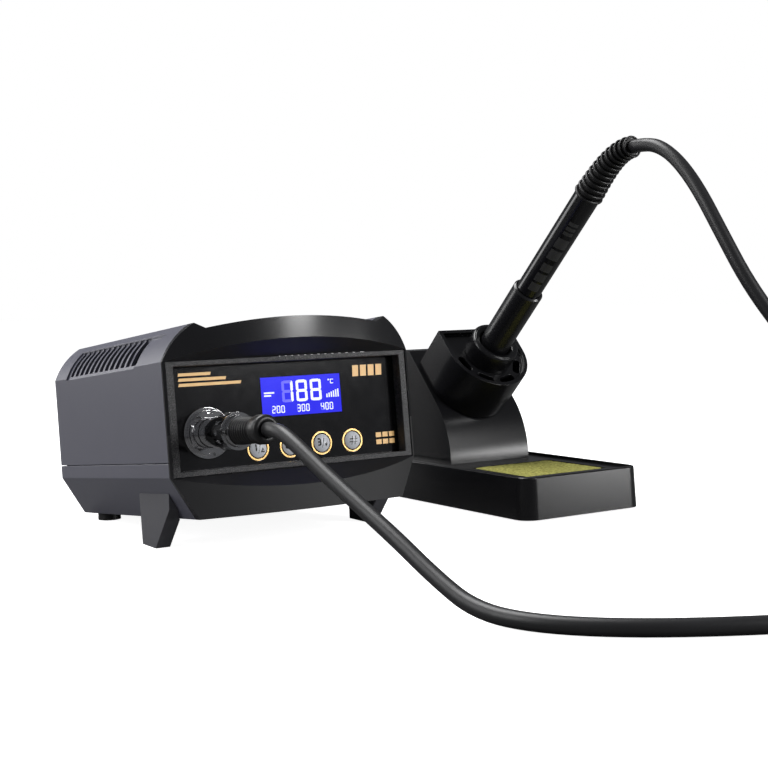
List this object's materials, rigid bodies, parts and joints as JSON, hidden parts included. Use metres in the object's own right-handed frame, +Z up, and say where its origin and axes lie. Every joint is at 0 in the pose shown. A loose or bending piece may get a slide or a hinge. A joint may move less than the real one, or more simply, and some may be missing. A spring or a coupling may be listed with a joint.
{
  "type": "soldering iron station",
  "caption": "Bench soldering station: control unit with backlit display and push buttons, iron on a flexible lead, and a sloped iron stand with a wet sponge tray.",
  "frame": {"origin": "middle of the footprint of the unit, stand and iron without the lead, on the table", "axes": "+Z up, -Y towards the user, +X to the user's right, from the unit to the stand"},
  "size_m": [0.2471, 0.4128, 0.1738],
  "materials": {
    "cover_grey": "fine textured, satin blue grey",
    "gloss_black": "gloss black moulding",
    "frame_black": "speckled matte black",
    "panel_black": "gloss black panel with gold print",
    "lcd_blue": "backlit blue display window",
    "button_metal": "satin metal domes",
    "gold_trim": "gold rings",
    "connector_chrome": "polished nickel",
    "insert_plastic": "black insulator",
    "switch_red": "red rocker",
    "jack_brass": "plated brass",
    "rubber_black": "satin black rubber",
    "cord_black": "satin black silicone lead",
    "handle_black": "satin black handle",
    "stand_black": "satin black moulding",
    "steel": "plain steel",
    "tip_iron": "plated tip",
    "ceramic_white": "white ceramic",
    "board_green": "solder mask green",
    "parts_dark": "component bodies",
    "winding_copper": "taped copper winding",
    "standoff_brass": "brass",
    "sink_aluminium": "extruded fins",
    "sponge_olive": "cellulose sponge"
  },
  "bodies": {
    "root": {"front_moulding": "gloss_black", "panel_frame": "frame_black", "front_panel": "panel_black", "lcd_window": "lcd_blue", "lcd_module": "insert_plastic", "display_board": "board_green", "tact_switches": "parts_dark", "button_rings": "gold_trim", "socket_body": "connector_chrome", "socket_nut": "connector_chrome", "socket_insert": "insert_plastic", "top_cover": "cover_grey", "base_shell": "cover_grey", "rear_panel": "cover_grey", "left_foot": "frame_black", "right_foot": "frame_black", "rear_pads": "rubber_black", "mains_gland": "insert_plastic", "earth_jack": "jack_brass", "switch_body": "insert_plastic", "transformer_core": "steel", "transformer_coil": "winding_copper", "transformer_bracket": "steel", "transformer_bolts": "steel", "main_board": "board_green", "board_standoffs": "standoff_brass", "heat_sink": "sink_aluminium", "board_parts": "parts_dark", "fuse": "ceramic_white", "case_screws": "steel", "stand_tray": "stand_black", "stand_column": "stand_black", "holder_cup": "stand_black", "holder_collar": "stand_black", "holder_liner": "steel", "stand_feet": "rubber_black", "stand_screws": "steel", "cord_coil": "cord_black"},
    "plug": {"plug_shell": "connector_chrome", "plug_clamp": "connector_chrome", "plug_boot": "rubber_black", "cord_plug_side": "cord_black"},
    "plug_ring": {"plug_ring": "connector_chrome"},
    "iron": {"iron_handle": "handle_black", "grip_sleeve": "rubber_black", "iron_barrel": "steel", "iron_tip": "tip_iron", "heater": "ceramic_white", "terminal_board": "board_green", "iron_boot": "rubber_black", "cord_iron_side": "cord_black"},
    "iron_nut": {"iron_nut": "steel"},
    "rocker": {"switch_rocker": "switch_red"},
    "sponge": {"sponge": "sponge_olive"},
    "button_1": {"button_1": "button_metal"},
    "button_2": {"button_2": "button_metal"},
    "button_3": {"button_3": "button_metal"},
    "button_4": {"button_4": "button_metal"}
  },
  "joints": [
    {"name": "plug_pull", "type": "slide", "parent": "root", "child": "plug", "axis": [0, -0.9954, 0.0958], "range_m": [0, 0.012]},
    {"name": "ring_turn", "type": "hinge", "parent": "plug", "child": "plug_ring", "pos_m": [-0.0971, -0.06035, 0.05284], "axis": [0, -0.9954, 0.0958], "continuous": true},
    {"name": "iron_lift", "type": "slide", "parent": "root", "child": "iron", "axis": [0, -0.7314, 0.682], "range_m": [0, 0.1]},
    {"name": "nut_turn", "type": "hinge", "parent": "iron", "child": "iron_nut", "pos_m": [0.0816, 0.01909, 0.06364], "axis": [0, -0.7314, 0.682], "continuous": true},
    {"name": "sponge_lift", "type": "slide", "parent": "root", "child": "sponge", "axis": [0, 0, 1], "range_m": [0, 0.02]},
    {"name": "rocker_tilt", "type": "hinge", "parent": "root", "child": "rocker", "pos_m": [-0.0905, 0.0945, 0.05018], "axis": [1, 0, 0], "range_deg": [0, 20]},
    {"name": "button_1_press", "type": "slide", "parent": "root", "child": "button_1", "axis": [0, 0.9954, -0.0958], "range_m": [0, 0.0005], "stiffness_N_per_m": 1200, "springref_m": -0.0002},
    {"name": "button_2_press", "type": "slide", "parent": "root", "child": "button_2", "axis": [0, 0.9954, -0.0958], "range_m": [0, 0.0005], "stiffness_N_per_m": 1200, "springref_m": -0.0002},
    {"name": "button_3_press", "type": "slide", "parent": "root", "child": "button_3", "axis": [0, 0.9954, -0.0958], "range_m": [0, 0.0005], "stiffness_N_per_m": 1200, "springref_m": -0.0002},
    {"name": "button_4_press", "type": "slide", "parent": "root", "child": "button_4", "axis": [0, 0.9954, -0.0958], "range_m": [0, 0.0005], "stiffness_N_per_m": 1200, "springref_m": -0.0002}
  ]
}
